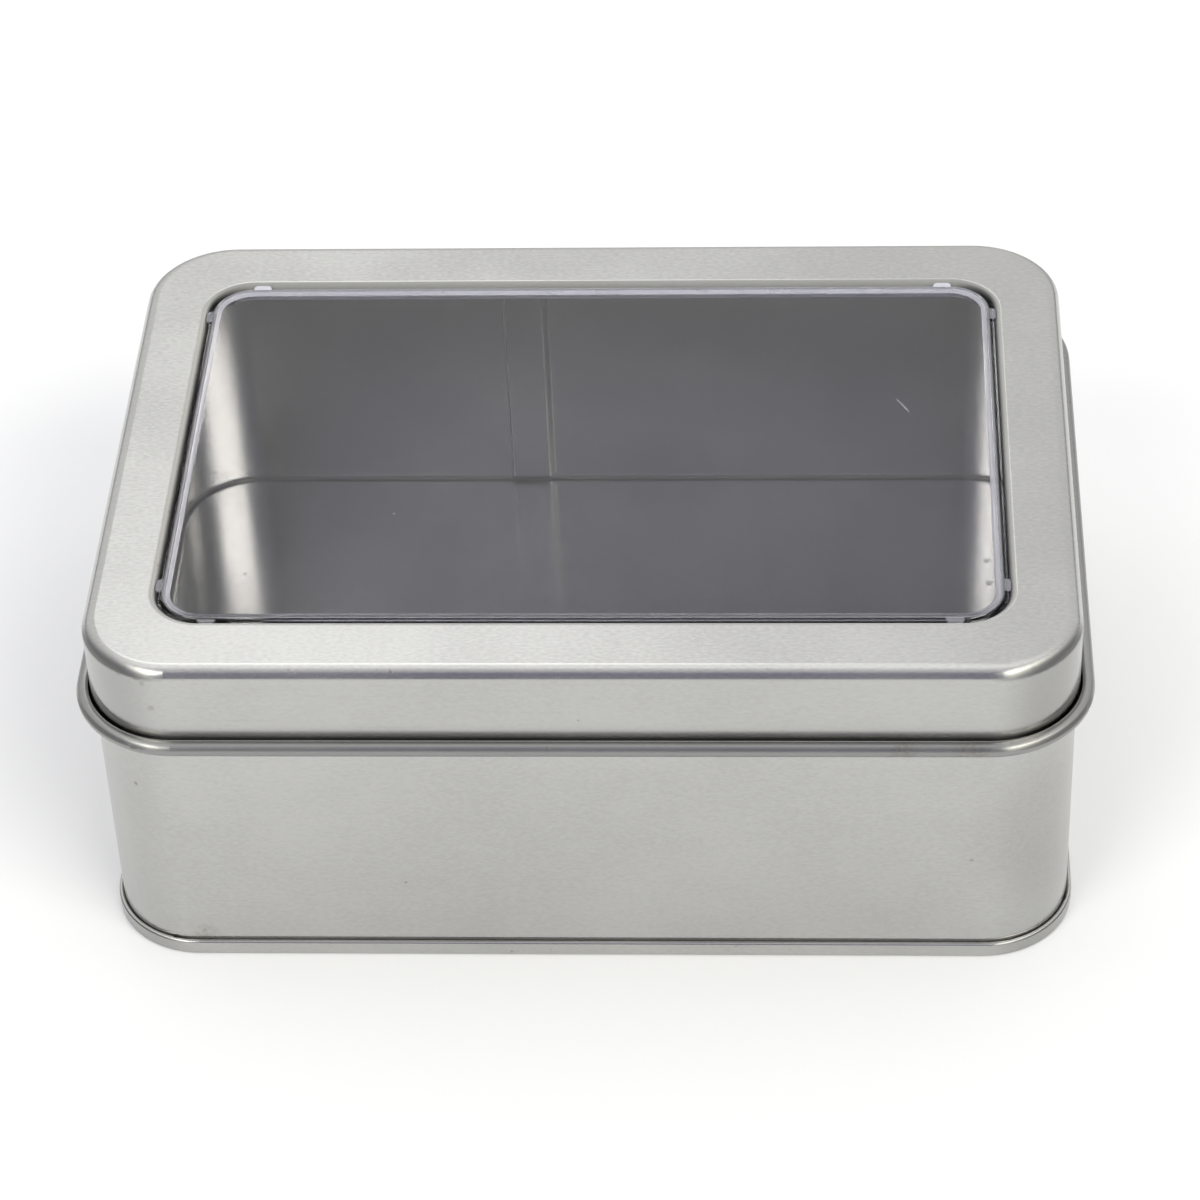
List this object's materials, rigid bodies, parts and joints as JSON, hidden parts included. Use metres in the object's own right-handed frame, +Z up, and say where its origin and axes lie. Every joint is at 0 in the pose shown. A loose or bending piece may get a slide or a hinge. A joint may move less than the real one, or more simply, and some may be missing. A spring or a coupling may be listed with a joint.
{
  "type": "window lid tin",
  "caption": "Rectangular tinplate box with rounded corners and a slip-on lid whose frame holds a clear plastic window, for keeping and showing small things.",
  "frame": {"origin": "on the table under the middle of the tin", "axes": "+X along the long side to the right, +Y from the front wall to the back wall, +Z up"},
  "size_m": [0.13, 0.0948, 0.0493],
  "materials": {
    "tinplate": "satin, fine rolled grain along the length",
    "clear_plastic": "clear, glossy, lightly scuffed"
  },
  "bodies": {
    "tin_body": {"body_wall": "tinplate", "base_panel": "tinplate"},
    "lid": {"lid_shell": "tinplate", "window_pane": "clear_plastic"}
  },
  "joints": [
    {"name": "lid_lift", "type": "slide", "parent": "tin_body", "child": "lid", "axis": [0, 0, 1], "range_m": [0, 0.06]}
  ]
}
